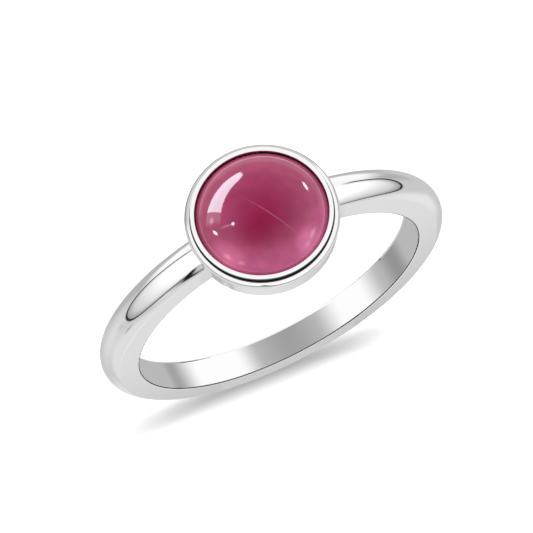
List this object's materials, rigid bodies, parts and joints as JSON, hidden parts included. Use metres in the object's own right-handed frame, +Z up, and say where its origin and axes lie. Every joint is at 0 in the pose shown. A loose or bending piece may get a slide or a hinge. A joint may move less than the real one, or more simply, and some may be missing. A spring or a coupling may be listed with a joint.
{
  "type": "ruby ring",
  "caption": "Finger ring with a round domed ruby held in a plain round bezel on a slim rounded band, lying on its side.",
  "frame": {"origin": "on the table, under the middle of the ring's box as it lies on its side", "axes": "+Z up, -Y towards the stone, X across; the finger hole's axis leans 9.15 degrees from +Z towards +Y"},
  "size_m": [0.02, 0.0214, 0.0078],
  "materials": {
    "polished_metal": "polished sterling silver",
    "ruby": "polished translucent pinkish red ruby"
  },
  "bodies": {
    "root": {"band_and_bezel": "polished_metal", "ruby_cabochon": "ruby"}
  },
  "joints": []
}
